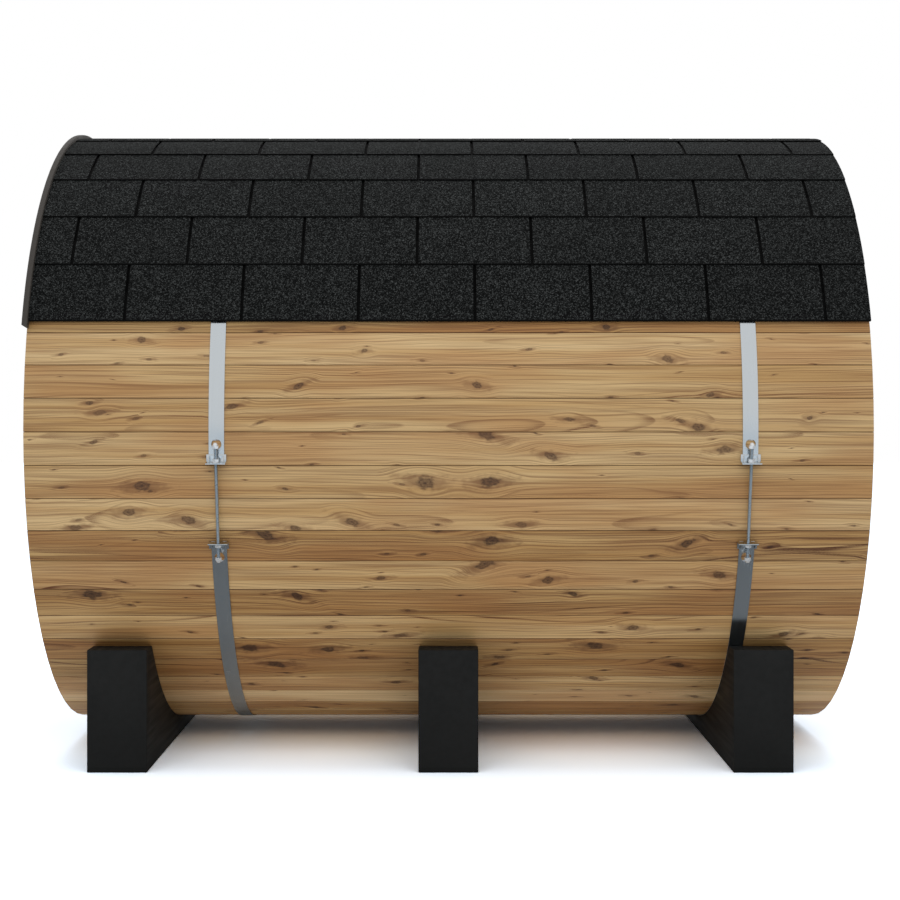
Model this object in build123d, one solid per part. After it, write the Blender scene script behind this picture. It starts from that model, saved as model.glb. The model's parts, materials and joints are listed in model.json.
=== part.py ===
from build123d import *
import math
import os

# A barrel sauna: a coopered timber barrel on three cradles, drawn tight by two steel hoops, under a
# shingled roof. Millimetres and degrees. X runs along the barrel from the door end to the back, Z is up.
# The origin is on the ground, in the middle of the middle cradle's foot.
# Angles round the barrel are measured at its axis: 0 is level on the near side (-Y), 90 is the crown.

# General clearances
seat_gap = 0.3
crown_angle = 90

# Staves
barrel_length = 2400
barrel_radius = 955  # from the axis to the flat outer face of a stave
ground_clearance = 48
stave_count = 63
stave_thickness = 42
stave_chamfer = 2
seam_gap = 0.4
seam_angle = 16.6  # the first seam below the eave
tongue_width = 14
tongue_height = 8
tongue_taper = 1
tongue_gap = 0.3

# End walls, let into a groove round the inside of the staves
wall_thickness = 42
wall_recess = 200
croze_depth = 12

# Cradles
cradle_width = 175
cradle_height = 358
cradle_ledge = 92
front_cradle_inset = 234
back_cradle_inset = 281

# Hoops: an upper and a lower strap, drawn together by a threaded rod on each side
strap_width = 44
strap_thickness = 2
front_hoop_inset = 545
back_hoop_inset = 348
tensioner_angle = -12.6
bracket_span = 233
bracket_width = 56
bracket_plate = 3
bracket_foot = 22
bracket_rise = 14
rod_radius = 5
rod_clearance = 6
rod_length = 320
rod_hole_radius = 5.5
nut_radius = 9.8
nut_height = 8
nut_bore_gap = 0.2
cap_nut_height = 16
cap_nut_chamfer = 4

# Roof
shingle_thickness = 3.5
shingle_exposure = 182
headlap_share = 0.5
eave_angle = 18.5
ridge_half_gap = 14
ridge_half_width = 108
roof_front_inset = 5
roof_back_overhang = 2
trim_overhang = 12
trim_rise = 23
trim_lip = 24
trim_tail = 26
trim_chamfer = 4
trim_mitre = 10

# Door in the front wall
door_frame_width = 700
door_frame_member = 40
door_frame_depth = 70
door_drop = 148
door_gap = 4
glass_thickness = 8
glass_inset = 22
hinge_height = 70
hinge_reach = 45
hinge_plate = 6
hinge_inset = 180
handle_width = 34
handle_depth = 30
handle_height = 320
handle_round = 10
handle_edge = 60
handle_middle = 950  # height of the grip above the floor

# Floor inside
floor_rise = 130
deck_side_gap = 9
deck_thickness = 28
bearer_width = 70
bearer_setback = 30
bearer_inset = 260
bearer_count = 3

# Worked-out sizes
axis_height = ground_clearance + barrel_radius
inner_radius = barrel_radius - stave_thickness
half_length = barrel_length / 2
half_pitch = 180 / stave_count
crest_half_width = barrel_radius * math.tan(math.radians(half_pitch)) - stave_chamfer
crest_radius = math.hypot(barrel_radius, crest_half_width)  # the staves' outermost line
strap_inner_radius = crest_radius + seat_gap
strap_outer_radius = strap_inner_radius + strap_thickness
front_wall_outside = wall_recess - half_length
front_wall_inside = front_wall_outside + wall_thickness
back_wall_inside = -front_wall_inside
wall_radius = inner_radius + croze_depth - seat_gap
hoop_places = {"front": front_hoop_inset - half_length, "back": half_length - back_hoop_inset}
deck_top = axis_height - inner_radius + floor_rise
deck_bottom = deck_top - deck_thickness
deck_half_width = math.sqrt(inner_radius**2 - (axis_height - deck_bottom) ** 2) - deck_side_gap
bearer_half_length = deck_half_width - bearer_setback
frame_front = front_wall_outside + (wall_thickness - door_frame_depth) / 2
frame_back = frame_front + door_frame_depth
frame_bottom = deck_top - door_frame_member
frame_top = axis_height + wall_radius - door_drop
frame_half_width = door_frame_width / 2
clear_half_width = frame_half_width - door_frame_member
clear_top = frame_top - door_frame_member


def polar(radius, angle):
    """Point in the Y-Z plane at an angle round the barrel."""
    turn = math.radians(angle)
    return (-radius * math.cos(turn), axis_height + radius * math.sin(turn))


def along(profile, start, end):
    """Carry a profile drawn in the Y-Z plane along the barrel, from one X to another."""
    return Pos(start, 0, 0) * extrude(Plane.YZ * profile, amount=end - start)


def panel(low_y, high_y, low_z, high_z):
    """A rectangle in the Y-Z plane."""
    return Pos((low_y + high_y) / 2, (low_z + high_z) / 2) * Rectangle(high_y - low_y, high_z - low_z)


def disc(radius):
    """A disc about the barrel's axis, in the Y-Z plane."""
    return Pos(0, axis_height) * Circle(radius)


def many_sided(flat_radius):
    """A polygon about the axis with one side to each stave, in the Y-Z plane."""
    corner_radius = flat_radius / math.cos(math.radians(half_pitch))
    corners = [polar(corner_radius, seam_angle - 2 * half_pitch * index) for index in range(stave_count)]
    return make_face(Polyline(*corners, close=True))


def turned(shape, angle):
    """Take a shape modelled at the crown, about the X axis, to its angle round the barrel."""
    return Pos(0, 0, axis_height) * Rot(crown_angle - angle, 0, 0) * shape


def far_side(shape):
    return mirror(shape, about=Plane.XZ)


def band(inner, outer, start, end):
    """Ring sector in the Y-Z plane, with its radii at the start, the middle and the end."""
    angles = (start, (start + end) / 2, end)
    inner_points = [polar(radius, angle) for radius, angle in zip(inner, angles)]
    outer_points = [polar(radius, angle) for radius, angle in zip(outer, angles)]
    return make_face(
        [
            ThreePointArc(*inner_points),
            Line(inner_points[-1], outer_points[-1]),
            ThreePointArc(*reversed(outer_points)),
            Line(outer_points[0], inner_points[0]),
        ]
    )


def write(name, solids):
    """One STEP file for a node of one or more separate solids."""
    separate = [solid for shape in solids for solid in shape.solids()]
    export_step(Compound(children=separate), f"parts/{name}.step")


def stave():
    """One stave at the crown: a tongue on one edge, a groove in the other, grooves inside for the walls."""
    sin_half = math.sin(math.radians(half_pitch))
    cos_half = math.cos(math.radians(half_pitch))
    seam_offset = -seam_gap / 2

    def edge(side, radius, out):
        # Radius runs along the seam and out runs across it, away from this stave.
        return (side * (radius * sin_half + out * cos_half), radius * cos_half - out * sin_half)

    def flat_radius(face):
        # Where a stave's edge meets the flat face at this distance from the axis.
        return (face + seam_offset * sin_half) / cos_half

    outer = flat_radius(barrel_radius)
    inner = flat_radius(inner_radius)
    middle = (outer + inner) / 2

    def side_points(side, half_width, reach):
        # From the outer face down one edge to the inner face, round the tongue or the groove.
        crest = edge(side, outer, seam_offset)
        tip = half_width - tongue_taper
        return [
            (crest[0] - side * stave_chamfer, barrel_radius),
            edge(side, outer - stave_chamfer, seam_offset),
            edge(side, middle + half_width, seam_offset),
            edge(side, middle + tip, seam_offset + reach),
            edge(side, middle - tip, seam_offset + reach),
            edge(side, middle - half_width, seam_offset),
            edge(side, inner, seam_offset),
        ]

    tongue = side_points(1, tongue_width / 2, tongue_height)
    groove = side_points(-1, tongue_width / 2 + tongue_gap, -tongue_height - tongue_gap)
    board = along(make_face(Polyline(*tongue, *reversed(groove), close=True)), -half_length, half_length)
    croze = panel(-barrel_radius, barrel_radius, 0, inner_radius + croze_depth)
    for start in (front_wall_outside, back_wall_inside):
        board -= along(croze, start - seat_gap, start + wall_thickness + seat_gap)
    return board


def stave_segments():
    """The ring of staves in runs, from the first seam down the near side, under and back over the top."""
    names = ["near_side", "near_lower", "bottom", "far_lower", "far_side"]
    names += ["far_upper", "far_crown", "near_crown", "near_upper"]
    board = stave()
    starts = [round(index * stave_count / len(names)) for index in range(len(names) + 1)]
    for name, first, after in zip(names, starts, starts[1:]):
        centres = [seam_angle - (2 * index + 1) * half_pitch for index in range(first, after)]
        write(f"{name}_staves", [turned(board, angle) for angle in centres])


def end_walls():
    """End walls with a side to each stave; the front one is parted round the door frame."""
    half_frame = frame_half_width
    lowest, highest = axis_height - barrel_radius, axis_height + barrel_radius
    outline = many_sided(wall_radius)
    pieces = {
        "front_wall_near": panel(-barrel_radius, -half_frame - seat_gap, lowest, highest),
        "front_wall_far": panel(half_frame + seat_gap, barrel_radius, lowest, highest),
        "front_wall_over_door": panel(-half_frame, half_frame, frame_top + seat_gap, highest),
        "front_wall_under_door": panel(-half_frame, half_frame, lowest, frame_bottom - seat_gap),
    }
    for name, part in pieces.items():
        write(name, [along(outline & part, front_wall_outside, front_wall_inside)])
    write("back_wall", [along(outline, back_wall_inside, back_wall_inside + wall_thickness)])


def door():
    """Glass door in a timber frame, with clamp hinges on the far jamb and a grip bar on each face."""
    jamb = panel(-frame_half_width, -clear_half_width, deck_top + seat_gap, clear_top - seat_gap)
    near_jamb = along(jamb, frame_front, frame_back)
    head = panel(-frame_half_width, frame_half_width, clear_top, frame_top)
    sill = panel(-frame_half_width, frame_half_width, frame_bottom, deck_top)
    write("door_jambs", [near_jamb, far_side(near_jamb)])
    write("door_head", [along(head, frame_front, frame_back)])
    write("door_sill", [along(sill, frame_front, frame_back)])

    glass_front = frame_front + glass_inset
    glass_back = glass_front + glass_thickness
    glass_half_width = clear_half_width - door_gap
    glass_outline = panel(-glass_half_width, glass_half_width, deck_top + door_gap, clear_top - door_gap)
    write("door_glass", [along(glass_outline, glass_front, glass_back)])

    hinges = []
    for centre in (deck_top + hinge_inset, clear_top - hinge_inset):
        outline = panel(
            clear_half_width - hinge_reach,
            clear_half_width - seat_gap,
            centre - hinge_height / 2,
            centre + hinge_height / 2,
        )
        clamp = along(outline, glass_front - hinge_plate - seat_gap, glass_back + hinge_plate + seat_gap)
        slot = panel(
            -glass_half_width,
            glass_half_width + seat_gap,
            centre - hinge_height,
            centre + hinge_height,
        )
        hinges.append(clamp - along(slot, glass_front - seat_gap, glass_back + seat_gap))
    write("door_hinges", hinges)

    grip_centre = handle_edge - glass_half_width
    grip_outline = panel(
        grip_centre - handle_width / 2,
        grip_centre + handle_width / 2,
        deck_top + handle_middle - handle_height / 2,
        deck_top + handle_middle + handle_height / 2,
    )
    outer_grip = along(grip_outline, glass_front - seat_gap - handle_depth, glass_front - seat_gap)
    inner_grip = along(grip_outline, glass_back + seat_gap, glass_back + seat_gap + handle_depth)
    outer_grip = fillet(outer_grip.edges().group_by(Axis.X)[0], handle_round)
    inner_grip = fillet(inner_grip.edges().group_by(Axis.X)[-1], handle_round)
    write("door_handle", [outer_grip, inner_grip])


def floor():
    """A level deck inside, on bearers cut to the curve of the staves."""
    front, back = frame_back + seat_gap, back_wall_inside - seat_gap
    deck = panel(-deck_half_width, deck_half_width, deck_bottom, deck_top)
    write("floor_deck", [along(deck, front, back)])
    under_deck = deck_bottom - seat_gap
    block = panel(-bearer_half_length, bearer_half_length, axis_height - inner_radius, under_deck)
    outline = disc(inner_radius - seat_gap) & block
    first = front + bearer_inset
    step = (back - front - 2 * bearer_inset) / (bearer_count - 1)
    centres = [first + step * index for index in range(bearer_count)]
    write("floor_bearers", [along(outline, x - bearer_width / 2, x + bearer_width / 2) for x in centres])


def roof():
    """Courses of shingles from each eave to the crown, each lapping the one below, and a ridge strip."""
    base = strap_outer_radius + seat_gap
    layer = shingle_thickness + seat_gap
    front, back = roof_front_inset - half_length, half_length + roof_back_overhang
    top_angle = crown_angle - math.degrees(ridge_half_gap / base)
    slope_length = base * math.radians(top_angle - eave_angle)
    course_count = round(slope_length / shingle_exposure - headlap_share)
    exposure_angle = (top_angle - eave_angle) / (course_count + headlap_share)

    def strip(start, end, lift):
        # The underside falls by one layer over each exposure, so that like strips lie on one another.
        climb = layer * (end - start) / exposure_angle
        inner = [base + lift - climb * share for share in (0, 1 / 2, 1)]
        outer = [radius + shingle_thickness for radius in inner]
        return along(band(inner, outer, start, end), front, back)

    strip_angle = exposure_angle * (1 + headlap_share)
    strips = [strip(eave_angle, eave_angle + exposure_angle * headlap_share, layer * headlap_share)]
    for index in range(course_count):
        start = eave_angle + exposure_angle * index
        strips.append(strip(start, start + strip_angle, layer * (1 + headlap_share)))
    write("near_shingles", strips)
    write("far_shingles", [far_side(piece) for piece in strips])

    ridge_half_angle = math.degrees(ridge_half_width / base)
    ridge_start = crown_angle - ridge_half_angle
    ridge_inner = base + layer * (top_angle - ridge_start) / exposure_angle + layer
    ridge_radii = [ridge_inner] * 3
    ridge_outer = [ridge_inner + shingle_thickness] * 3
    ridge = band(ridge_radii, ridge_outer, ridge_start, crown_angle + ridge_half_angle)
    write("ridge_shingles", [along(ridge, front, back)])

    outer = barrel_radius + trim_rise
    trim_end = front - seat_gap
    trim_front = -half_length - trim_overhang
    start = eave_angle - math.degrees(trim_tail / base)
    arch = band([strap_inner_radius] * 3, [outer] * 3, start, 2 * crown_angle - start)
    lip = band([barrel_radius - trim_lip] * 3, [outer] * 3, start, 2 * crown_angle - start)
    trim = along(arch, trim_front, trim_end) + along(lip, trim_front, -half_length - seat_gap)
    tails = trim.edges().filter_by(GeomType.LINE).group_by(Axis.X)[0]
    trim = chamfer(tails, trim_mitre)
    arcs = trim.edges().filter_by(GeomType.CIRCLE)
    write("roof_edge_trim", [chamfer(arcs.group_by(SortBy.RADIUS)[-1], trim_chamfer)])


def straps_and_tensioners():
    """Each hoop's two straps, and the rod, brackets and nuts that draw them together on each side.

    A hexagon nut bears on each bracket, and a closed cap nut covers each end of the rod.
    """
    rod_axis = crest_radius + rod_clearance + rod_radius
    foot_radius = strap_outer_radius + seat_gap
    flange_angle = math.degrees(math.asin(bracket_span / 2 / strap_outer_radius))
    foot_turn = math.radians(flange_angle) + bracket_foot / 2 / foot_radius
    forward = Vector(math.cos(foot_turn), -math.sin(foot_turn))
    outward = Vector(math.sin(foot_turn), math.cos(foot_turn))
    foot_near = outward * foot_radius - forward * (bracket_foot / 2)
    foot_tip = foot_near + forward * bracket_foot
    inside = foot_near.X + bracket_plate
    foot_top = foot_near + outward * bracket_plate
    bend = foot_top + forward * ((inside - foot_top.X) / forward.X)
    flange_top = rod_axis + bracket_rise
    section = Polyline(
        (foot_near.X, foot_near.Y),
        (foot_tip.X, foot_tip.Y),
        (foot_tip.X + outward.X * bracket_plate, foot_tip.Y + outward.Y * bracket_plate),
        (bend.X, bend.Y),
        (inside, flange_top),
        (foot_near.X, flange_top),
        close=True,
    )
    rod_line = Pos(0, 0, rod_axis) * Rot(crown_angle, 0, 0)
    bracket = along(make_face(section), -bracket_width / 2, bracket_width / 2)
    bracket -= rod_line * Cylinder(rod_hole_radius, rod_length)
    rod = rod_line * Cylinder(rod_radius, rod_length)
    blank = RegularPolygon(nut_radius, 6) - Circle(rod_radius + nut_bore_gap)
    nut = Rot(crown_angle, 0, 0) * extrude(blank, amount=nut_height / 2, both=True)
    nut_seat = inside + seat_gap + nut_height / 2
    nuts = [Pos(0, side * nut_seat, rod_axis) * nut for side in (1, -1)]
    cap_nut = extrude(RegularPolygon(nut_radius, 6), amount=cap_nut_height)
    cap_nut = chamfer(cap_nut.faces().sort_by(Axis.Z)[-1].edges(), cap_nut_chamfer)
    cap_nut = Pos(0, rod_length / 2 + seat_gap, rod_axis) * Rot(-crown_angle, 0, 0) * cap_nut
    nuts += [cap_nut, mirror(cap_nut, about=Plane.XZ)]

    for name, place in hoop_places.items():
        at = Pos(place, 0, 0)
        upper = (tensioner_angle + flange_angle, 2 * crown_angle - tensioner_angle - flange_angle)
        lower = (tensioner_angle - flange_angle, -2 * crown_angle - tensioner_angle + flange_angle)
        for label, ends in (("upper", upper), ("lower", lower)):
            ring = band([strap_inner_radius] * 3, [strap_outer_radius] * 3, *ends)
            write(f"{name}_{label}_strap", [along(ring, place - strap_width / 2, place + strap_width / 2)])
        pieces = {"rod": [rod], "brackets": [bracket, mirror(bracket, about=Plane.XZ)], "nuts": nuts}
        for label, shapes in pieces.items():
            near = [at * turned(shape, tensioner_angle) for shape in shapes]
            write(f"{name}_near_{label}", near)
            write(f"{name}_far_{label}", [far_side(shape) for shape in near])


def cradles():
    """Black cradles under the barrel; the hoop that runs over one gets a groove in its saddle."""
    saddle_radius = crest_radius + seat_gap
    saddle_drop = axis_height - cradle_height
    half_span = math.sqrt(saddle_radius**2 - saddle_drop**2) + cradle_ledge
    outline = panel(-half_span, half_span, 0, cradle_height) - disc(saddle_radius)
    groove_radius = strap_outer_radius + seat_gap
    grooves = [
        along(disc(groove_radius), place - strap_width / 2 - seat_gap, place + strap_width / 2 + seat_gap)
        for place in hoop_places.values()
    ]
    front, back = front_cradle_inset - half_length, half_length - back_cradle_inset
    for name, place in {"front": front, "middle": 0, "back": back}.items():
        block = along(outline, place - cradle_width / 2, place + cradle_width / 2)
        for groove in grooves:
            block -= groove
        write(f"{name}_cradle", [block])


os.makedirs("parts", exist_ok=True)
stave_segments()
end_walls()
door()
floor()
roof()
straps_and_tensioners()
cradles()
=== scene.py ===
# %% [markdown]
# # A barrel sauna, dressed from its frame
# The frame brings every stave, hoop, cradle and roof course at its real size and place. What it lacks is
# what saws, planes and weather leave on the real thing: softened arrises, separate boards and shingle tabs,
# threads on the rods, grain and knots. Each step below makes one of these as it would be made by hand at
# the screen.

# %% Load the frame
import json
import math
import random

import bmesh
import bpy
from mathutils import Matrix, Vector

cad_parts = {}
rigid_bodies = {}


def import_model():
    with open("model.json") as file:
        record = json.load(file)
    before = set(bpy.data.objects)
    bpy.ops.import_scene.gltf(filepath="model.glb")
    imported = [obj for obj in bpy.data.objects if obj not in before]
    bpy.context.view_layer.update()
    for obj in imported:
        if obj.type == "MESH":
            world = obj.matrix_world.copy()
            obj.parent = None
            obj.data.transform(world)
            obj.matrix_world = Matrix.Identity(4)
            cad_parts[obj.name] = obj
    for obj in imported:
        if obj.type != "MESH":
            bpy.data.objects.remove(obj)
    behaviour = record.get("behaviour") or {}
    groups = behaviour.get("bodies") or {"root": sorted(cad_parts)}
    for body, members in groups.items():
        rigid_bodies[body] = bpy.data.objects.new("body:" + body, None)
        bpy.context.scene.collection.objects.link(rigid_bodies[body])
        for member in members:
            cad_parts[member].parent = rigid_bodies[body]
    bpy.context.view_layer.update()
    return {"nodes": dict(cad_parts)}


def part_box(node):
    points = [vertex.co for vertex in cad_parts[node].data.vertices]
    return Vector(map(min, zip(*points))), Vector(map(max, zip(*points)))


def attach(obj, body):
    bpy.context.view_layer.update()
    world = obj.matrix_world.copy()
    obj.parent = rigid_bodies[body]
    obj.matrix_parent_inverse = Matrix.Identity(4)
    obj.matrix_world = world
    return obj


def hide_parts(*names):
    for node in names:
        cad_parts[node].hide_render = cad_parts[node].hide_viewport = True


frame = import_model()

# %% [markdown]
# The barrel lies along X, and nearly all of it is turned about its axis. So most places are an angle round
# that axis: 0 degrees is level on the near side, 90 is the crown, 180 is level on the far side. These few
# sizes say where the axis is and how the staves are shared out. The straps lie on the crests, where two
# staves meet, and pieces that seat on each other stand one small gap apart.

# %% The barrel's own measures
axis_height = 1.003
barrel_radius = 0.955
stave_count = 63
stave_pitch = 360 / stave_count
stave_chamfer = 0.002
seam_angle = 16.6
seat_gap = 0.0003
half_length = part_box("near_side_staves")[1].x
half_stave = barrel_radius * math.tan(math.pi / stave_count)
crest_radius = math.hypot(barrel_radius, half_stave - stave_chamfer)
axis = Vector((0, 0, axis_height))


def on_barrel(radius, angle, x=0.0):
    """A point at an angle round the barrel's axis."""
    turn = math.radians(angle)
    return Vector((x, -radius * math.cos(turn), axis_height + radius * math.sin(turn)))


print("barrel", 2 * half_length, "m long,", stave_count, "staves")

# %% [markdown]
# The photo is taken square to the side of the barrel, from a little over the height of its axis. A camera
# that is turned would make the upright lines lean, so it stays level and its shift moves the picture
# instead.

# %% Camera
camera_place = (-0.018, -5.737, 1.0134)
camera_lens = 67.8
camera_shift = (0.0087, -0.0277)
sensor_width = 36.0
bpy.ops.object.select_all(action="DESELECT")
bpy.ops.object.camera_add(location=camera_place, rotation=(math.radians(90), 0, 0))
camera = bpy.context.object
camera.data.sensor_width = sensor_width
camera.data.lens = camera_lens
camera.data.shift_x, camera.data.shift_y = camera_shift
bpy.context.scene.camera = camera
print("camera", camera_place, "lens", camera_lens)

# %% [markdown]
# Studio light for a product is soft and comes mostly from above and in front, so that a round body darkens
# gently towards its underside. Three wide panels do that, over a world that fills the shadows, and two
# reflectors that lie on the floor before and behind the barrel lift its underside. The picture's white
# ground is only what the camera sees, straight or through glass; the light that falls on the object is
# weaker. The panels stay out of the mirror of the steel, which would show them as patches on the hoops.

# %% World and lights
scene = bpy.context.scene
scene.view_settings.view_transform = "Standard"
world_level = 0.6
mirrored_level = 0.8
panels = {
    "front_panel": {"place": (0.0, -5.2, 4.6), "size": (7.0, 4.4), "power": 70},
    "top_panel": {"place": (0.0, -0.6, 5.4), "size": (5.0, 3.2), "power": 50},
    "back_panel": {"place": (0.0, 5.2, 4.6), "size": (7.0, 4.4), "power": 60},
    "front_reflector": {"place": (0.0, -0.98, 0.01), "size": (5.0, 1.55), "power": 6.8},
    "back_reflector": {"place": (0.0, 0.98, 0.01), "size": (5.0, 1.55), "power": 6.8},
}


def seen_directly(tree):
    """A socket that is 1 for what the camera sees, straight or through glass, and 0 for light on things."""
    path = tree.nodes.new("ShaderNodeLightPath")
    either = tree.nodes.new("ShaderNodeMath")
    either.operation = "MAXIMUM"
    tree.links.new(path.outputs["Is Camera Ray"], either.inputs[0])
    tree.links.new(path.outputs["Is Transmission Ray"], either.inputs[1])
    return either.outputs[0]


world = bpy.data.worlds.new("studio")
world.use_nodes = True
scene.world = world
room = world.node_tree
unseen = room.nodes.new("ShaderNodeMapRange")
unseen.inputs["To Min"].default_value = world_level
unseen.inputs["To Max"].default_value = mirrored_level
room.links.new(room.nodes.new("ShaderNodeLightPath").outputs["Is Glossy Ray"], unseen.inputs["Value"])
level = room.nodes.new("ShaderNodeMapRange")
level.inputs["To Max"].default_value = 1.0
room.links.new(unseen.outputs["Result"], level.inputs["To Min"])
room.links.new(seen_directly(room), level.inputs["Value"])
background = room.nodes["Background"]
background.inputs["Color"].default_value = (1, 1, 1, 1)
room.links.new(level.outputs["Result"], background.inputs["Strength"])

for name, panel in panels.items():
    bpy.ops.object.light_add(type="AREA", location=panel["place"])
    lamp = bpy.context.object
    lamp.name = name
    lies_flat = lamp.location.z < axis_height / 2
    aim = Vector((0, 0, 1)) if lies_flat else axis - lamp.location
    lamp.rotation_euler = aim.to_track_quat("-Z", "Y").to_euler()
    lamp.visible_glossy = False
    lamp.data.shape = "RECTANGLE"
    lamp.data.size, lamp.data.size_y = panel["size"]
    lamp.data.energy = panel["power"]
print(len(panels), "panels of light, world at", world_level)

# %% [markdown]
# A material is a recipe of nodes, and wiring each node by hand takes four lines. This small helper takes
# one line for each: it adds a node, sets it up, plugs in values or other nodes, and hands back what comes
# out.

# %% A hand for wiring materials


def paint(red, green, blue):
    """A colour as it reads off a picture, from 0 to 255, turned into the linear values that shaders use."""
    shares = (value / 255 for value in (red, green, blue))
    linear = [share / 12.92 if share <= 0.04045 else ((share + 0.055) / 1.055) ** 2.4 for share in shares]
    return (*linear, 1.0)


class Recipe:
    """Wires one material, node by node."""

    def __init__(self, name):
        self.material = bpy.data.materials.new(name)
        self.material.use_nodes = True
        self.tree = self.material.node_tree
        self.shader = self.tree.nodes["Principled BSDF"]

    def node(self, kind, inputs=None, **settings):
        made = self.tree.nodes.new("ShaderNode" + kind)
        for key, value in settings.items():
            setattr(made, key, value)
        for key, value in (inputs or {}).items():
            self.plug(made.inputs[key], value)
        return made

    def plug(self, socket, value):
        if isinstance(value, bpy.types.NodeSocket):
            self.tree.links.new(value, socket)
        else:
            socket.default_value = value

    def math(self, operation, *values, clamp=False):
        made = self.node("Math", dict(enumerate(values)), operation=operation, use_clamp=clamp)
        return made.outputs[0]

    def vector(self, operation, *values):
        return self.node("VectorMath", dict(enumerate(values)), operation=operation).outputs[0]

    def split(self, vector):
        return self.node("SeparateXYZ", {0: vector}).outputs

    def length(self, vector):
        return self.node("VectorMath", {0: vector}, operation="LENGTH").outputs["Value"]

    def mark(self, name):
        return self.node("Attribute", attribute_name=name).outputs["Vector"]

    def place(self):
        return self.node("TexCoord").outputs["Object"]

    def noise(self, vector, stretch, detail=2.0):
        scaled = self.vector("MULTIPLY", vector, stretch)
        inputs = {"Vector": scaled, "Scale": 1.0, "Detail": detail}
        return self.node("TexNoise", inputs).outputs[0]

    def ease(self, value, low, high, start=0.0, end=1.0):
        inputs = {"Value": value, "From Min": low, "From Max": high, "To Min": start, "To Max": end}
        return self.node("MapRange", inputs, interpolation_type="SMOOTHSTEP").outputs[0]

    def blend(self, share, first, second, how="MIX"):
        made = self.node("Mix", data_type="RGBA", blend_type=how)
        self.plug(made.inputs[0], share)
        self.plug(made.inputs[6], first)
        self.plug(made.inputs[7], second)
        return made.outputs[2]

    def bump(self, height, depth, strength=1.0):
        inputs = {"Height": height, "Distance": depth, "Strength": strength}
        self.plug(self.shader.inputs["Normal"], self.node("Bump", inputs).outputs[0])

    def surface(self, **sockets):
        for key, value in sockets.items():
            socket = key.replace("_", " ").title().replace("Ior", "IOR")
            self.plug(self.shader.inputs[socket], value)
        return self.material


print("recipe helper ready")

# %% [markdown]
# The floor is a plain pale sheet. The camera is exposed so that the sheet just turns white where the whole
# world lights it, and darker wherever the barrel keeps light away, so the soft shadow under the barrel is a
# true one. It is a cool white, because the wood throws warm light on it and the shadow should still be
# grey. What it sends back to the wood is what pale paper would. In the steel it shows with a painted colour
# of its own: a painted cool grey beside the barrel, painted paler under it to lift its shadow there, and
# nearly white further off.

# %% Floor
floor_size = 80
floor_pale = 0.75
painted_mirror_grey = 0.29
grey_until = 1.5
white_from = 2.5
floor_white = [share / world_level for share in (1.15, 1.29, 1.45)]
painted_mirror_tint = (0.95, 1.05, 1.14, 1.0)
bpy.ops.mesh.primitive_plane_add(size=floor_size)
studio_floor = bpy.context.object
studio_floor.name = "studio_floor"
paper = Recipe("studio_paper")
mirrored = paper.node("LightPath").outputs["Is Glossy Ray"]
distance = paper.math("ABSOLUTE", paper.split(paper.place())[1])
# painted light in the mirror: the painted grey grows paler towards the barrel, to lift the floor's shadow as
# the steel sees it
near = paper.math("DIVIDE", painted_mirror_grey, distance, clamp=True)
grey = paper.ease(distance, grey_until, white_from, near, 1.0)
shade = paper.ease(mirrored, 0.0, 1.0, floor_pale, grey)
# painted reflection: a cool tint on the floor as the steel mirrors it
shade = paper.blend(mirrored, shade, painted_mirror_tint, "MULTIPLY")
shade = paper.blend(seen_directly(paper.tree), shade, (*floor_white, 1.0))
sheet = paper.node("BsdfDiffuse", {"Color": shade})
paper.plug(paper.tree.nodes["Material Output"].inputs["Surface"], sheet.outputs[0])
studio_floor.data.materials.append(paper.material)
print("floor", floor_size, "m across")

# %% [markdown]
# Modelling at the screen is mostly: pick one piece, go into edit mode, pick some faces or edges, and use a
# tool on them. These helpers do the picking, so that the steps after this read as the work itself.

# %% Helpers for picking and shaping
merge_distance = 2e-5
flat_angle = math.radians(0.5)
smooth_angle = math.radians(32)


def only(piece):
    """Leave edit mode and have just this piece selected."""
    if bpy.context.mode != "OBJECT":
        bpy.ops.object.mode_set(mode="OBJECT")
    bpy.ops.object.select_all(action="DESELECT")
    piece.select_set(True)
    bpy.context.view_layer.objects.active = piece
    return piece


def fresh(add, **sizes):
    """Add a primitive with nothing else selected, and hand it back."""
    bpy.ops.object.select_all(action="DESELECT")
    add(**sizes)
    return bpy.context.object


def edit(piece):
    """Go into edit mode with all of the piece selected."""
    only(piece)
    bpy.ops.object.mode_set(mode="EDIT")
    bpy.ops.mesh.select_all(action="SELECT")


def choose(piece, kind, test):
    """In edit mode, select the vertices, edges or faces whose middle passes a test."""
    bpy.ops.mesh.select_mode(type=kind)
    bpy.ops.mesh.select_all(action="DESELECT")
    shape = bmesh.from_edit_mesh(piece.data)
    for item in {"VERT": shape.verts, "EDGE": shape.edges, "FACE": shape.faces}[kind]:
        corners = [item] if kind == "VERT" else item.verts
        middle = sum((corner.co for corner in corners), Vector()) / len(corners)
        item.select_set(bool(test(middle, item)))
    bmesh.update_edit_mesh(piece.data)


def apply_modifier(piece, kind, **settings):
    """Add a modifier, set it up and apply it."""
    only(piece)
    modifier = piece.modifiers.new(kind.lower(), kind)
    for key, value in settings.items():
        setattr(modifier, key, value)
    bpy.ops.object.modifier_apply(modifier=modifier.name)


def soften(piece, width, segments=2, angle=30):
    """Round every sharp arris a little, as sanding does."""
    limits = {"limit_method": "ANGLE", "angle_limit": math.radians(angle), "harden_normals": False}
    apply_modifier(piece, "BEVEL", width=width, segments=segments, **limits)


def settle(piece):
    """Put the object's own place, turn and scale into its mesh."""
    only(piece)
    bpy.ops.object.transform_apply(location=True, rotation=True, scale=True)


def clean(piece):
    """Merge doubles and turn all faces outwards."""
    edit(piece)
    bpy.ops.mesh.remove_doubles(threshold=merge_distance)
    bpy.ops.mesh.normals_make_consistent(inside=False)
    only(piece)


def again(piece, name):
    """Another copy of a piece, with a mesh of its own."""
    copy = bpy.data.objects.new(name, piece.data.copy())
    scene.collection.objects.link(copy)
    return copy


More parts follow.
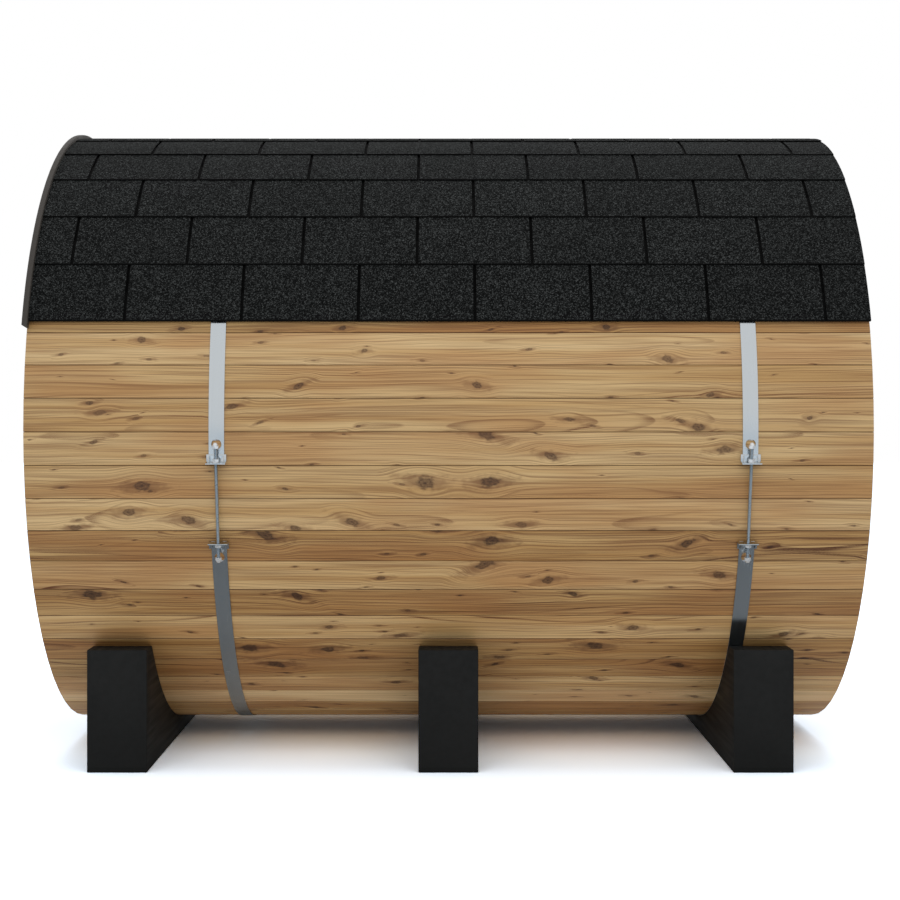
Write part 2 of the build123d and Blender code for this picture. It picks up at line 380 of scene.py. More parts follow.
def join(pieces, name):
    """Join several pieces into the first one."""
    only(pieces[0])
    for piece in pieces[1:]:
        piece.select_set(True)
    bpy.ops.object.join()
    pieces[0].name = name
    pieces[0].data.name = name
    return pieces[0]


def copy_of_node(node):
    """A copy of a frame node's mesh, with its triangles merged back into plain flat faces."""
    piece = bpy.data.objects.new("dressed_" + node, frame["nodes"][node].data.copy())
    scene.collection.objects.link(piece)
    edit(piece)
    bpy.ops.mesh.remove_doubles(threshold=merge_distance)
    bpy.ops.mesh.dissolve_limited(angle_limit=flat_angle)
    only(piece)
    return piece


def put_on(piece, material, slot, *nodes):
    """Give a finished piece its material, and hide the frame nodes that it stands for."""
    only(piece)
    bpy.ops.object.shade_smooth_by_angle(angle=smooth_angle)
    piece.data.materials.clear()
    piece.data.materials.append(material)
    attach(piece, "root")
    if nodes:
        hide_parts(*nodes)
    print(piece.name, len(piece.data.polygons), "faces")
    return piece


# %% [markdown]
# Wood is cut from a round trunk, so its pattern runs through the whole board and not over its surface. To
# let one timber recipe serve every board, each point is told where it lies in its own board: along the
# grain, across the face, and in depth. Each board also gets a number that shifts the pattern, a tone of its
# own, its half width and its three largest knots. A knot is a place along the board, a place across it and
# a radius.

# %% Telling each board where its grain runs
seed_parts = 7
main_knot_count = 3
knot_spread = 0.035
knot_radii = (0.006, 0.014)
knot_draw = random.Random(7)


def any_knots(reach):
    """Three knots at random places of a board that is so long to each side."""
    return [
        (
            knot_draw.uniform(-reach, reach),
            knot_draw.uniform(-knot_spread, knot_spread),
            knot_draw.uniform(*knot_radii),
        )
        for _ in range(main_knot_count)
    ]


def mark_grain(board, along, across, outward, middle, tone, seed, half_width, knots):
    """Write each point's place in its board, and the board's own numbers, as mesh attributes."""
    points = board.data.vertices
    reaches = [point.co - middle for point in points]
    marks = {
        "grain": [(reach.dot(along), reach.dot(across), reach.dot(outward)) for reach in reaches],
        "board": [(seed, tone, half_width)] * len(points),
    }
    for index in range(main_knot_count):
        marks[f"knot_{index}"] = [knots[index]] * len(points)
    for name, values in marks.items():
        mark = board.data.attributes.new(name, "FLOAT_VECTOR", "POINT")
        for item, value in zip(mark.data, values):
            item.vector = value


def split_loose(piece):
    """Take a piece apart into its separate solids."""
    edit(piece)
    bpy.ops.mesh.separate(type="LOOSE")
    only(piece)
    return [part for part in scene.objects if part.name.split(".")[0] == piece.name]


print("boards can be marked")

# %% [markdown]
# The staves are knotty softwood under a clear oil. On the real boards the rings show as long brown lines
# that part round each knot; small pin knots are scattered everywhere, larger ones with a brown smear are
# rarer. The rings are worked out about a pith that lies off the board, and each knot pushes them aside.
# Dark boards are heartwood, so they aren't only darker but redder, which a gamma gives. Along each board's
# edge the colour is darkened, as painted shade of the groove at the seam.

# %% Timber recipe
wood_light = paint(222, 190, 138)
wood_honey = paint(201, 162, 106)
wood_russet = paint(194, 147, 94)
wood_line = paint(112, 66, 31)
wood_knot = paint(60, 33, 18)
painted_seam_shade = paint(76, 46, 24)
pin_knots = {"cell": 0.1, "radii": (0.0018, 0.0045), "share": 0.7}
small_knots = {"cell": 0.23, "radii": (0.004, 0.0095), "share": 0.5}


def knot(mix, offset, radius, ragged, lean):
    """One knot: its heart, the smear along the grain, and how far it pushes the rings sideways."""
    along, across, _ = mix.split(offset)
    leaning = mix.node("CombineXYZ", {0: along, 1: mix.math("MULTIPLY_ADD", along, lean, across)}).outputs[0]
    round_reach = mix.length(mix.vector("MULTIPLY", leaning, (0.6, 1.0, 0.0)))
    long_reach = mix.length(mix.vector("MULTIPLY", leaning, (0.26, 1.0, 0.0)))
    whole = mix.math("DIVIDE", round_reach, radius)
    reach = mix.math("MULTIPLY", whole, ragged)
    rings = mix.math("MULTIPLY_ADD", mix.math("COSINE", mix.math("MULTIPLY", reach, 8.0)), 0.17, 0.83)
    heart = mix.math("MULTIPLY", mix.ease(reach, 0.55, 1.15, 1.0, 0.0), rings)
    smear = mix.ease(mix.math("MULTIPLY", mix.math("DIVIDE", long_reach, radius), ragged), 0.4, 1.7, 1.0, 0.0)
    push = mix.math("MULTIPLY", across, mix.ease(whole, 0.4, 4.5, -0.8, 0.0))
    return heart, smear, push


def scattered_knot(mix, place, ragged, lean, cell, radii, share):
    """Knots at random, at most one for each cell of the board's face."""
    spot = mix.vector("MULTIPLY", place, (0.7 / cell, 1 / cell, 0.0))
    cells = mix.node("TexVoronoi", {"Vector": spot, "Scale": 1.0}, voronoi_dimensions="2D")
    chance, size, depth = mix.split(cells.outputs["Color"])
    present = mix.math("LESS_THAN", chance, share)
    radius = mix.math("MULTIPLY_ADD", present, mix.ease(size, 0.0, 1.0, *radii), 1e-5)
    from_centre = mix.vector("SUBTRACT", spot, cells.outputs["Position"])
    offset = mix.vector("MULTIPLY", from_centre, (cell, cell, 0.0))
    heart, smear, push = knot(mix, offset, radius, ragged, lean)
    return mix.math("MULTIPLY", heart, mix.ease(depth, 0.0, 1.0, 0.6, 1.0)), smear, push


def ring_lines(mix, across, depth, chances, seed):
    """The dark edge of each year's ring, some years bolder, for a pith somewhere behind the board."""
    pith_across = mix.math("MULTIPLY_ADD", chances[0], 0.16, -0.08)
    pith_depth = mix.math("MULTIPLY_ADD", chances[1], 0.07, 0.025)
    reach_across = mix.math("SUBTRACT", across, pith_across)
    reach_depth = mix.math("ADD", depth, pith_depth)
    squares = mix.math("ADD", mix.math("POWER", reach_across, 2.0), mix.math("POWER", reach_depth, 2.0))
    spacing = mix.math("MULTIPLY_ADD", chances[2], 0.0045, 0.0055)
    years = mix.math("DIVIDE", mix.math("SQRT", squares), spacing)
    saw = mix.math("FRACT", years)
    edge = mix.math("MULTIPLY", mix.ease(saw, 0.6, 0.92), mix.ease(saw, 0.95, 1.0, 1.0, 0.0))
    year = mix.math("ADD", mix.math("FLOOR", years), mix.math("MULTIPLY", seed, 91.7))
    bold = mix.node("TexWhiteNoise", {"W": year}, noise_dimensions="1D").outputs["Value"]
    return mix.math("MULTIPLY", edge, mix.ease(bold, 0.2, 0.9, 0.3, 1.0))


def timber(name, roughness):
    """Knotty softwood, read from where each point lies in its own board."""
    mix = Recipe(name)
    grain = mix.mark("grain")
    seed, tone, half_width = mix.split(mix.mark("board"))
    along, across, depth = mix.split(grain)
    chances = mix.split(mix.node("TexWhiteNoise", {"W": seed}, noise_dimensions="1D").outputs["Color"])
    shift = mix.node("VectorMath", {0: (53.1, 7.7, 3.3), "Scale": seed}, operation="SCALE").outputs[0]
    place = mix.vector("ADD", grain, shift)

    ragged = mix.ease(mix.noise(place, (45.0, 80.0, 80.0)), 0.2, 0.8, 0.7, 1.4)
    lean = mix.math("MULTIPLY_ADD", mix.noise(place, (1.5, 1.5, 1.5)), 2.4, -1.2)
    knots = [scattered_knot(mix, place, ragged, lean, **kind) for kind in (pin_knots, small_knots)]
    for index in range(main_knot_count):
        main = mix.mark(f"knot_{index}")
        knots.append(knot(mix, mix.vector("SUBTRACT", grain, main), mix.split(main)[2], ragged, lean))
    heart, smear, push = knots[0]
    for other in knots[1:]:
        heart = mix.math("MAXIMUM", heart, other[0])
        smear = mix.math("MAXIMUM", smear, other[1])
        push = mix.math("ADD", push, other[2])
    speckle = mix.ease(mix.noise(place, (200.0, 320.0, 320.0)), 0.3, 0.7, 0.6, 1.0)
    heart = mix.math("MULTIPLY", heart, speckle)

    sway = mix.math("MULTIPLY_ADD", mix.noise(place, (0.8, 6.0, 6.0)), 0.06, -0.03)
    waver = mix.math("MULTIPLY_ADD", mix.noise(place, (4.0, 20.0, 20.0)), 0.008, -0.004)
    pushed = mix.math("ADD", mix.math("ADD", across, push), mix.math("ADD", sway, waver))
    taper = mix.math("MULTIPLY_ADD", mix.noise(place, (0.9, 2.0, 2.0)), 0.08, -0.04)
    late = ring_lines(mix, pushed, mix.math("ADD", depth, taper), chances, seed)
    boldness = mix.ease(mix.noise(place, (1.3, 24.0, 24.0)), 0.3, 0.7, 0.3, 1.0)
    heartwood = mix.math("MULTIPLY_ADD", tone, -2.5, 3.5)
    lines = mix.math("MULTIPLY", late, mix.math("MULTIPLY", boldness, heartwood), clamp=True)
    bent = mix.vector("ADD", mix.node("CombineXYZ", {0: along, 1: pushed, 2: depth}).outputs[0], shift)
    threads = mix.noise(bent, (2.2, 330.0, 60.0))
    lines = mix.math("MULTIPLY", lines, mix.ease(threads, 0.3, 0.6, 0.4, 1.0))
    lines = mix.math("MAXIMUM", lines, mix.ease(threads, 0.42, 0.66, 0.0, 0.52))

    streak = mix.ease(mix.noise(place, (1.0, 30.0, 30.0), 3.0), 0.35, 0.7)
    patch = mix.ease(mix.noise(place, (1.6, 7.0, 7.0)), 0.42, 0.66, 0.0, 0.7)
    fibre = mix.noise(place, (9.0, 520.0, 520.0))
    colour = mix.blend(streak, wood_light, wood_honey)
    colour = mix.blend(patch, colour, wood_russet)
    colour = mix.blend(lines, colour, wood_line)
    colour = mix.blend(mix.math("MULTIPLY", smear, 0.5), colour, wood_line)
    colour = mix.blend(mix.math("MULTIPLY", heart, 0.95), colour, wood_knot)
    # painted shade: towards each board's edge the colour darkens, for the shade in the seam's groove
    edge = mix.math("DIVIDE", mix.math("ABSOLUTE", across), half_width)
    colour = mix.blend(mix.ease(edge, 0.96, 0.99, 0.0, 0.65), colour, painted_seam_shade)
    redness = mix.math("MULTIPLY_ADD", tone, -2.0, 3.0)
    colour = mix.node("Gamma", {"Color": colour, "Gamma": redness}).outputs[0]
    value = mix.math("MULTIPLY", tone, mix.math("MULTIPLY_ADD", fibre, 0.24, 0.88))
    colour = mix.node("HueSaturation", {"Value": value, "Color": colour}).outputs[0]
    height = mix.math("SUBTRACT", mix.math("MULTIPLY", fibre, 0.6), mix.math("MULTIPLY", lines, 0.5))
    mix.bump(height, 0.0005, 0.5)
    return mix.surface(base_color=colour, roughness=roughness)


stave_timber = timber("stave_timber", 0.55)
print("timber recipe with", len(stave_timber.node_tree.nodes), "nodes")

# %% [markdown]
# A knot that sits where the photo has one does more for a likeness than fine grain. The larger knots of the
# staves were read off the photo, as pixels across and down, each with a radius in metres. Six small
# ones are made up, so that every board from the eave down has three. To find a pixel's place on the barrel,
# its ray is followed from the camera; the barrel is round, so the ray meets it where a quadratic is zero,
# and the nearer of the two roots is the side that shows.

# %% Knots of the near staves
photo_size = 900
knots_seen = [
    (667, 359, 0.011), (142, 340, 0.009), (364, 351, 0.007),
    (298, 386, 0.010), (477, 385, 0.010), (710, 395, 0.008),
    (698, 427, 0.013), (90, 403, 0.007), (810, 418, 0.006),
    (485, 434, 0.016), (725, 449, 0.013), (551, 456, 0.012),
    (425, 483, 0.019), (490, 482, 0.017), (142, 486, 0.016),
    (129, 512, 0.013), (189, 520, 0.012), (352, 522, 0.013),
    (266, 536, 0.016), (492, 541, 0.016), (688, 543, 0.012),
    (485, 564, 0.018), (719, 575, 0.013), (548, 580, 0.012),
    (92, 594, 0.016), (297, 596, 0.013),
    (633, 628, 0.012), (784, 634, 0.011), (330, 627, 0.008),
    (250, 648, 0.017), (328, 649, 0.014), (595, 646, 0.017),
    (276, 664, 0.017), (678, 665, 0.014),
    (593, 678, 0.011), (396, 682, 0.011),
]
knots_made_up = [
    (606, 327, 0.008), (343, 328, 0.007), (181, 329, 0.006),
    (573, 594, 0.008), (495, 664, 0.008), (252, 684, 0.007),
]


def stave_at(angle):
    """The stave at an angle, counted down from the first seam, and the angle of its middle."""
    number = math.floor((seam_angle - angle) / stave_pitch)
    return number % stave_count, seam_angle - (number + 0.5) * stave_pitch


def on_barrel_from_photo(across, down):
    """Where the camera's ray through a pixel of the photo meets the barrel."""
    zoom = camera_lens / sensor_width
    side = (across / photo_size - 0.5 + camera_shift[0]) / zoom
    rise = (0.5 - down / photo_size + camera_shift[1]) / zoom
    ray = Vector((side, 1.0, rise))
    eye = Vector(camera_place)
    from_axis = eye - axis
    square = ray.yz.dot(ray.yz)
    half_linear = ray.yz.dot(from_axis.yz)
    constant = from_axis.yz.dot(from_axis.yz) - barrel_radius**2
    return eye + ray * (-half_linear - math.sqrt(half_linear**2 - square * constant)) / square


def knots_by_stave():
    """For each stave that shows, its knots: place along the board, place across it, and radius."""
    boards = {}
    for across, down, radius in knots_seen + knots_made_up:
        spot = on_barrel_from_photo(across, down)
        angle = math.degrees(math.atan2(spot.z - axis_height, -spot.y))
        number, centre = stave_at(angle)
        knot_place = (spot.x, math.radians(angle - centre) * barrel_radius, radius)
        boards.setdefault(number, []).append(knot_place)
    return boards


near_knots = knots_by_stave()
print(len(near_knots), "staves have", {len(places) for places in near_knots.values()}, "knots each")

# %% [markdown]
# The staves come out of a planer with a tongue on one edge and a groove on the other, and their outer
# arrises are eased, which gives the fine dark line at each seam, deepened by painted shade along each
# board's edge. The frame has those chamfers; here each run is taken apart, rounded a little more, marked
# with its grain, and put together again. No two boards have one tone. For the staves that the photo shows,
# from the eave down, the tones are matched to it, and the lowest are raised further as painted light for
# the dim underside; the others are at random.

# %% Staves
stave_runs = [name for name in frame["nodes"] if name.endswith("_staves")]
# tones matched to the boards that show; the lowest are also raised as painted light for the dim underside
near_tones_with_painted_light = [0.88, 1.03, 0.98, 0.98, 1.0, 0.97, 1.01, 0.86, 0.96, 0.85, 0.97, 0.84, 0.85, 0.98, 1.07]
tone_range = (0.82, 1.02)
stave_rounding = 0.0007
along_barrel = Vector((1, 0, 0))
draw = random.Random(4)


def dress_staves(run):
    parts = split_loose(copy_of_node(run))
    for part in parts:
        soften(part, stave_rounding)
        total = sum((vertex.co for vertex in part.data.vertices), Vector())
        middle = total / len(part.data.vertices) - axis
        angle = math.degrees(math.atan2(middle.z, -middle.y))
        number, centre = stave_at(angle)
        turn = math.radians(centre)
        outward = Vector((0, -math.cos(turn), math.sin(turn)))
        upward = Vector((0, math.sin(turn), math.cos(turn)))
        seen = (number + 1) % stave_count
        tone = near_tones_with_painted_light[seen] if seen < len(near_tones_with_painted_light) else draw.uniform(*tone_range)
        knots = near_knots[number] if number in near_knots else any_knots(half_length)
        face = axis + outward * barrel_radius
        mark_grain(part, along_barrel, upward, outward, face, tone, number / seed_parts, half_stave, knots)
    return put_on(join(parts, "dressed_" + run), stave_timber, "stave_timber", run)


for run in stave_runs:
    dress_staves(run)

# %% [markdown]
# The roof is covered with felt shingles: strips of bitumen felt faced with crushed slate, cut into tabs by
# narrow slots. Seen close they are charcoal with paler grains, each tab a slightly different black, and
# along the cut edges and under the next course bare bitumen shows. A few millimetres up from each tab's
# foot the face is painted black too, as painted shade for the dark line along each course. The grain is
# too fine to model, so it is colour and bump; where the edges are, each tab says itself, with a mark for how
# far each point lies from its middle and its foot.

# %% Shingle recipe
tab_pitch = 0.3325
slot_width = 0.0075
tab_half = (tab_pitch - slot_width) / 2
exposure = 0.182
bitumen = paint(7, 7, 7)
slate_black = paint(7, 8, 8)
slate_dark = paint(10, 11, 11)
slate_pale = paint(80, 83, 83)
grains_per_metre = 400.0
side_bare_from = 0.0014
side_bare_full = 0.0006
# the black band at each tab's foot: its bare cut edge, and above it painted shade for the dark line along
# each course
foot_bare_and_shade_full = 0.0026
foot_bare_and_shade_until = 0.004
head_bare_from = 0.001


def mark_tab(tab, foot_of):
    """Write how far each point of a tab lies from the tab's middle and from its foot."""
    mark = tab.data.attributes.new("tab", "FLOAT_VECTOR", "POINT")
    for item, point in zip(mark.data, tab.data.vertices):
        item.vector = (point.co.x, foot_of(point.co), 0.0)


def granules():
    mix = Recipe("roof_shingle")
    place = mix.place()
    grains = mix.node("TexVoronoi", {"Vector": place, "Scale": grains_per_metre})
    chance, shade, _ = mix.split(grains.outputs["Color"])
    patch = mix.noise(place, (9.0, 9.0, 9.0), 3.0)
    island = mix.node("NewGeometry").outputs["Random Per Island"]
    pale = mix.math("MULTIPLY", mix.ease(chance, 0.45, 1.0), mix.ease(shade, 0.0, 1.0, 0.3, 1.0))
    colour = mix.blend(mix.ease(patch, 0.3, 0.7), slate_black, slate_dark)
    colour = mix.blend(pale, colour, slate_pale)
    value = mix.math("MULTIPLY_ADD", island, 0.16, 0.82)
    colour = mix.node("HueSaturation", {"Value": value, "Color": colour}).outputs[0]
    side, foot, _ = mix.split(mix.mark("tab"))
    bare_side = mix.ease(mix.math("ABSOLUTE", side), tab_half - side_bare_from, tab_half - side_bare_full)
    # bare cut edge at the foot, and painted shade a few millimetres up the tab's face
    bare_and_shaded_foot = mix.ease(foot, foot_bare_and_shade_full, foot_bare_and_shade_until, 1.0, 0.0)
    bare_head = mix.ease(foot, exposure - head_bare_from, exposure)
    # bare bitumen at the cut sides and under the next course, with the painted shade at the foot
    bare = mix.math("MAXIMUM", mix.math("MAXIMUM", bare_side, bare_and_shaded_foot), bare_head)
    colour = mix.blend(bare, colour, bitumen)
    mix.bump(grains.outputs["Distance"], 0.0012, 0.8)
    return mix.surface(base_color=colour, roughness=0.9, specular_ior_level=0.12)


roof_shingle = granules()
print("shingle recipe with", len(roof_shingle.node_tree.nodes), "nodes")

# %% [markdown]
# One tab is a flat piece of felt bent to the barrel. Spinning its thin end section about the barrel does
# exactly that. A strip lies on the one below and its own upper end lies on the boards, so the tab is spun
# about a centre that is set off a little, and its lower edge stands higher than its upper one.

# %% One shingle tab
shingle_thickness = 0.0035
shingle_layer = shingle_thickness + seat_gap
strap_thickness = 0.002
strap_radius = crest_radius + seat_gap
roof_base = strap_radius + strap_thickness + seat_gap
eave_angle = 18.5
ridge_half_gap = 0.014
top_angle = 90 - math.degrees(ridge_half_gap / roof_base)
course_count = 6
headlap_share = 0.5
exposure_angle = (top_angle - eave_angle) / (course_count + headlap_share)
felt_rounding = 0.0007
roof_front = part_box("near_shingles")[0].x
roof_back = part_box("near_shingles")[1].x


def section(width, height, x, radius, angle):
    """A flat rectangle across the barrel's curve: width along X, height outwards from the radius."""
    middle = on_barrel(radius + height / 2, angle, x)
    turn = (math.radians(180 - angle), 0, 0)
    piece = fresh(bpy.ops.mesh.primitive_plane_add, size=1, location=middle, rotation=turn)
    piece.scale = (width, height, 1)
    settle(piece)
    return piece


def spin_round(piece, start, end, steps, fall=0.0):
    """Spin a section about the barrel from one angle to another, coming inwards by the fall on the way."""
    middle = math.radians((start + end) / 2)
    half = math.radians(end - start) / 2
    shift = -fall / (2 * math.sin(half))
    centre = axis + Vector((0, math.sin(middle), math.cos(middle))) * shift
    edit(piece)
    bpy.ops.mesh.spin(steps=steps, angle=2 * half, center=centre, axis=(1, 0, 0))
    clean(piece)
    return piece


def felt_strip(width, x, start, share, steps):
    """A strip of felt that covers a share of the exposure and falls by as many layers."""
    fall = shingle_layer * share
    piece = section(width, shingle_thickness, x, roof_base + fall, start)
    spin_round(piece, start, start + exposure_angle * share, steps, fall)
    soften(piece, felt_rounding, 1)
    return piece


def round_from_eave(point):
    """How far up the roof a point lies, measured round the barrel from the eave."""
    angle = math.degrees(math.atan2(point.z - axis_height, -point.y))
    return math.radians(angle - eave_angle) * roof_base


tab = felt_strip(2 * tab_half, 0.0, eave_angle, 1 + headlap_share, 8)
mark_tab(tab, round_from_eave)
tab.name = "shingle_tab"
print("one tab has", len(tab.data.polygons), "faces")

# %% [markdown]
# A course is a row of tabs from one end of the roof to the other, and the slots of the next course stand
# over the middles of its tabs. The rows start at the slots that the photo shows and the end tabs are cut
# off at the roof's edge with a bisect. Each tab is lifted by a hair of its own, as felt never lies quite
# flat.

# %% Courses of shingles
first_slots = (-0.922, -1.088)
tab_lift = 0.0009
tab_draw = random.Random(11)


def trim_to_roof(piece):
    """Cut a row off square at both ends of the roof."""
    for place, side in ((roof_front, -1), (roof_back, 1)):
        edit(piece)
        bpy.ops.mesh.bisect(plane_co=(place, 0, 0), plane_no=(side, 0, 0), use_fill=True, clear_outer=True)
    only(piece)


def turn_about_axis(piece, degrees):
    """Carry a piece round the barrel, from the near side towards the crown."""
    turn = Matrix.Rotation(-math.radians(degrees), 4, "X")
    piece.matrix_world = Matrix.Translation(axis) @ turn @ Matrix.Translation(-axis) @ piece.matrix_world
    settle(piece)


def to_far_side(piece):
    """Mirror a piece to the far side and turn its faces out again."""
    piece.scale = (1, -1, 1)
    settle(piece)
    clean(piece)
    return piece


def row_of(pattern, first_slot, name, outward):
    """Copies of one tab side by side over the whole roof, each lifted by its own hair."""
    count = math.ceil((roof_back - first_slot) / tab_pitch) + 1
    tabs = []
    for index in range(-1, count):
        copy = again(pattern, f"{name}_{index}")
        copy.location = outward * tab_draw.uniform(0, tab_lift)
        copy.location.x = first_slot + (index + 0.5) * tab_pitch
        if roof_front < copy.location.x + tab_pitch / 2 and copy.location.x - tab_pitch / 2 < roof_back:
            settle(copy)
            tabs.append(copy)
        else:
            bpy.data.objects.remove(copy)
    row = join(tabs, name)
    trim_to_roof(row)
    return row


def side_of_roof():
    """The starter strip along the eave and six courses over it."""
    middle = (roof_front + roof_back) / 2
    outward = on_barrel(1, eave_angle + exposure_angle / 2) - axis
    rows = [felt_strip(roof_back - roof_front, middle, eave_angle, headlap_share, 4)]
    mark_tab(rows[0], lambda point: 0.0)
    for index in range(course_count):
        row = row_of(tab, first_slots[index % 2], f"course_{index}", outward)
        turn_about_axis(row, exposure_angle * index)
        rows.append(row)
    return join(rows, "shingles")


near_shingles = side_of_roof()
far_shingles = to_far_side(side_of_roof())
near_shingles.name = "near_shingle_tabs"
far_shingles.name = "far_shingle_tabs"
put_on(near_shingles, roof_shingle, "roof_shingle", "near_shingles")
put_on(far_shingles, roof_shingle, "roof_shingle", "far_shingles")

# %% [markdown]
# Over the crown the two sides are closed by ridge tabs, laid across the joint. Under all of it lies a sheet
# of plain felt, which is what shows as black through the slots.

# %% Ridge and felt
ridge_low, ridge_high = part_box("ridge_shingles")
ridge_radius = ridge_high.z - axis_height - shingle_thickness
ridge_half_angle = math.degrees(math.atan2(ridge_high.y, ridge_low.z - axis_height))
felt_drop = 0.00025
felt_radius = roof_base - felt_drop
felt_thickness = 0.0002
ridge_lift_share = 0.3
eave_setback = 0.3

ridge_tab = section(2 * tab_half, shingle_thickness, 0.0, ridge_radius, 90 - ridge_half_angle)
spin_round(ridge_tab, 90 - ridge_half_angle, 90 + ridge_half_angle, 8)
soften(ridge_tab, felt_rounding, 1)
mark_tab(ridge_tab, lambda point: ridge_high.y - abs(point.y))
ridge = row_of(ridge_tab, first_slots[0], "ridge_tabs", Vector((0, 0, ridge_lift_share)))
put_on(ridge, roof_shingle, "roof_shingle", "ridge_shingles")

felt_start = eave_angle + eave_setback
felt = section(roof_back - roof_front, felt_thickness, (roof_front + roof_back) / 2, felt_radius, felt_start)
spin_round(felt, felt_start, 180 - felt_start, 84)
felt.name = "roof_felt"
for pattern in (tab, ridge_tab):
    bpy.data.objects.remove(pattern)


def plain_felt():
    mix = Recipe("plain_felt")
    mottle = mix.noise(mix.place(), (60.0, 60.0, 60.0), 4.0)
    colour = mix.blend(mottle, bitumen, paint(11, 11, 11))
    mix.bump(mottle, 0.0003)
    return mix.surface(base_color=colour, roughness=0.95, specular_ior_level=0.1)


put_on(felt, plain_felt(), "roof_shingle")

# %% [markdown]
# At the door end the felt is finished with an edging: an angle that covers the ends of the boards and
# stands a little above the shingles. It is made like the felt, from its section: a flat strip, one part of
# its edge extruded to form the angle, the outer corners rounded, and all of it spun over the barrel from
# eave to eave.

# %% Roof edging
edging_low, edging_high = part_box("roof_edge_trim")
edging_outer = edging_high.z - axis_height
edging_seat = 0.0014
edging_inner = barrel_radius + edging_seat
lip_drop = 0.024
edging_lip = barrel_radius - lip_drop
tail_length = 0.026
edging_tail = eave_angle - math.degrees(tail_length / roof_base)
edging_mitre = 0.010
edging_corner = 0.004
edging_rounding = 0.0008
lip_thickness = -half_length - seat_gap - edging_low.x


def edging_section():
    lip_middle = edging_low.x + lip_thickness / 2
    piece = section(lip_thickness, edging_outer - edging_lip, lip_middle, edging_lip, edging_tail)
    outward = on_barrel(1, edging_tail) - axis
    edit(piece)
    bpy.ops.mesh.bisect(plane_co=axis + outward * edging_inner, plane_no=outward)
    choose(piece, "EDGE", lambda middle, edge: (
        middle.x > lip_middle + lip_thickness / 4 and (middle - axis).dot(outward) > edging_inner
    ))
    reach = edging_high.x - edging_low.x - lip_thickness
    bpy.ops.mesh.extrude_region_move(TRANSFORM_OT_translate={"value": (reach, 0, 0)})
    bpy.ops.mesh.select_all(action="SELECT")
    bpy.ops.mesh.dissolve_limited(angle_limit=flat_angle)
    choose(piece, "VERT", lambda middle, vertex: (middle - axis).dot(outward) > edging_outer - merge_distance)
    bpy.ops.mesh.bevel(offset=edging_corner, segments=3, affect="VERTICES")
    only(piece)
    return piece


def cut_tails(piece):
    """Cut both tails with one slanted plane, so that they are shorter in front than against the boards."""
    slant = Vector((-1, 0, 0)) * edging_mitre + Vector((0, 0, -1)) * (edging_high.x - edging_low.x)
    corner = on_barrel(edging_outer, edging_tail, edging_high.x)
    edit(piece)
    bpy.ops.mesh.bisect(plane_co=corner, plane_no=slant.normalized(), use_fill=True, clear_outer=True)
    only(piece)


edging = edging_section()
spin_round(edging, edging_tail, 180 - edging_tail, 72)
cut_tails(edging)
clean(edging)
soften(edging, edging_rounding, 1)
edging.name = "roof_edging"


def edging_finish():
    mix = Recipe("edge_trim")
    place = mix.place()
    mottle = mix.noise(place, (35.0, 35.0, 35.0), 4.0)
    fine = mix.noise(place, (700.0, 700.0, 700.0))
    colour = mix.blend(mottle, paint(50, 46, 42), paint(64, 59, 54))
    mix.bump(fine, 0.0002)
    return mix.surface(base_color=colour, roughness=mix.ease(mottle, 0.2, 0.8, 0.5, 0.7))


put_on(edging, edging_finish(), "edge_trim", "roof_edge_trim")

# %% [markdown]
# Two hoops of flat steel draw the staves together. Each hoop is an upper and a lower strap, and their ends
# meet at a threaded rod on each side. Rolled strap has fine drawing lines along its length and is smooth
# enough to mirror its surroundings softly: the upper straps take the sky's pale grey, the lower ones the
# dark grey that is painted on the floor for mirrors only. Of the tensioners' parts the brackets are the
# smoothest, the rods the roughest and darkest, and the nuts' plating is pale and only half a mirror.

# %% Steel recipes


def steel(name, dark, pale, roughness, relief=0.00004, drawn=None, metallic=1.0):
    """Plated steel, with drawing lines if the piece is rolled; less metallic where the plating is dull."""
    mix = Recipe(name)
    place = mix.place()
    cloud = mix.noise(place, (14.0, 14.0, 14.0), 4.0)
    lines = mix.noise(place, drawn or (260.0, 260.0, 260.0), 3.0)
    colour = mix.blend(mix.math("MULTIPLY_ADD", lines, 0.5, mix.math("MULTIPLY", cloud, 0.5)), dark, pale)
    mix.bump(lines, relief)
    rough = mix.ease(mix.math("ADD", cloud, lines), 0.6, 1.4, roughness - 0.06, roughness + 0.08)
    return mix.surface(base_color=colour, roughness=rough, metallic=metallic)


drawing_lines = (900.0, 3.0, 3.0)
hoop_steel = steel("hoop_steel", paint(205, 211, 215), paint(213, 219, 223), 0.2, 0.00001, drawing_lines)
zinc_steel = steel("zinc_steel", paint(226, 230, 233), paint(242, 244, 246), 0.16, metallic=0.55)
bracket_steel = steel("bracket_steel", paint(196, 202, 206), paint(214, 220, 224), 0.1, 0.00001)
rod_steel = steel("rod_steel", paint(178, 188, 196), paint(200, 209, 216), 0.3)
print("steels ready")

# %% [markdown]
# A strap is a thin section spun round the barrel, with its sharp edges broken. Near each end it has a round
# hole, in which the rod's cap nut lies, and at the very end a notch for the nut behind the flange. They are
# cut with booleans, using a cylinder and a block as the tools, because that is how they would be punched.

# %% Straps with holes
strap_width = 0.044
tensioner_angle = -12.6
end_nut_place = 0.166
flange_place = 0.1165
round_hole_radius = 0.014
notch_width = 0.022
notch_length = 0.009
punch_depth = 0.03
block_height = 0.06
edge_rounding = 0.0004
flange_angle = math.degrees(math.asin(flange_place / (strap_radius + strap_thickness)))
hoop_places = {"front": -0.655, "back": 0.852}


def round_barrel(piece, angle, x):
    """Take a piece modelled at the crown, about the barrel's axis, to its place round the barrel."""
    piece.rotation_euler = (math.radians(90 - angle), 0, 0)
    piece.location = (x, 0, axis_height)
    settle(piece)
    return piece


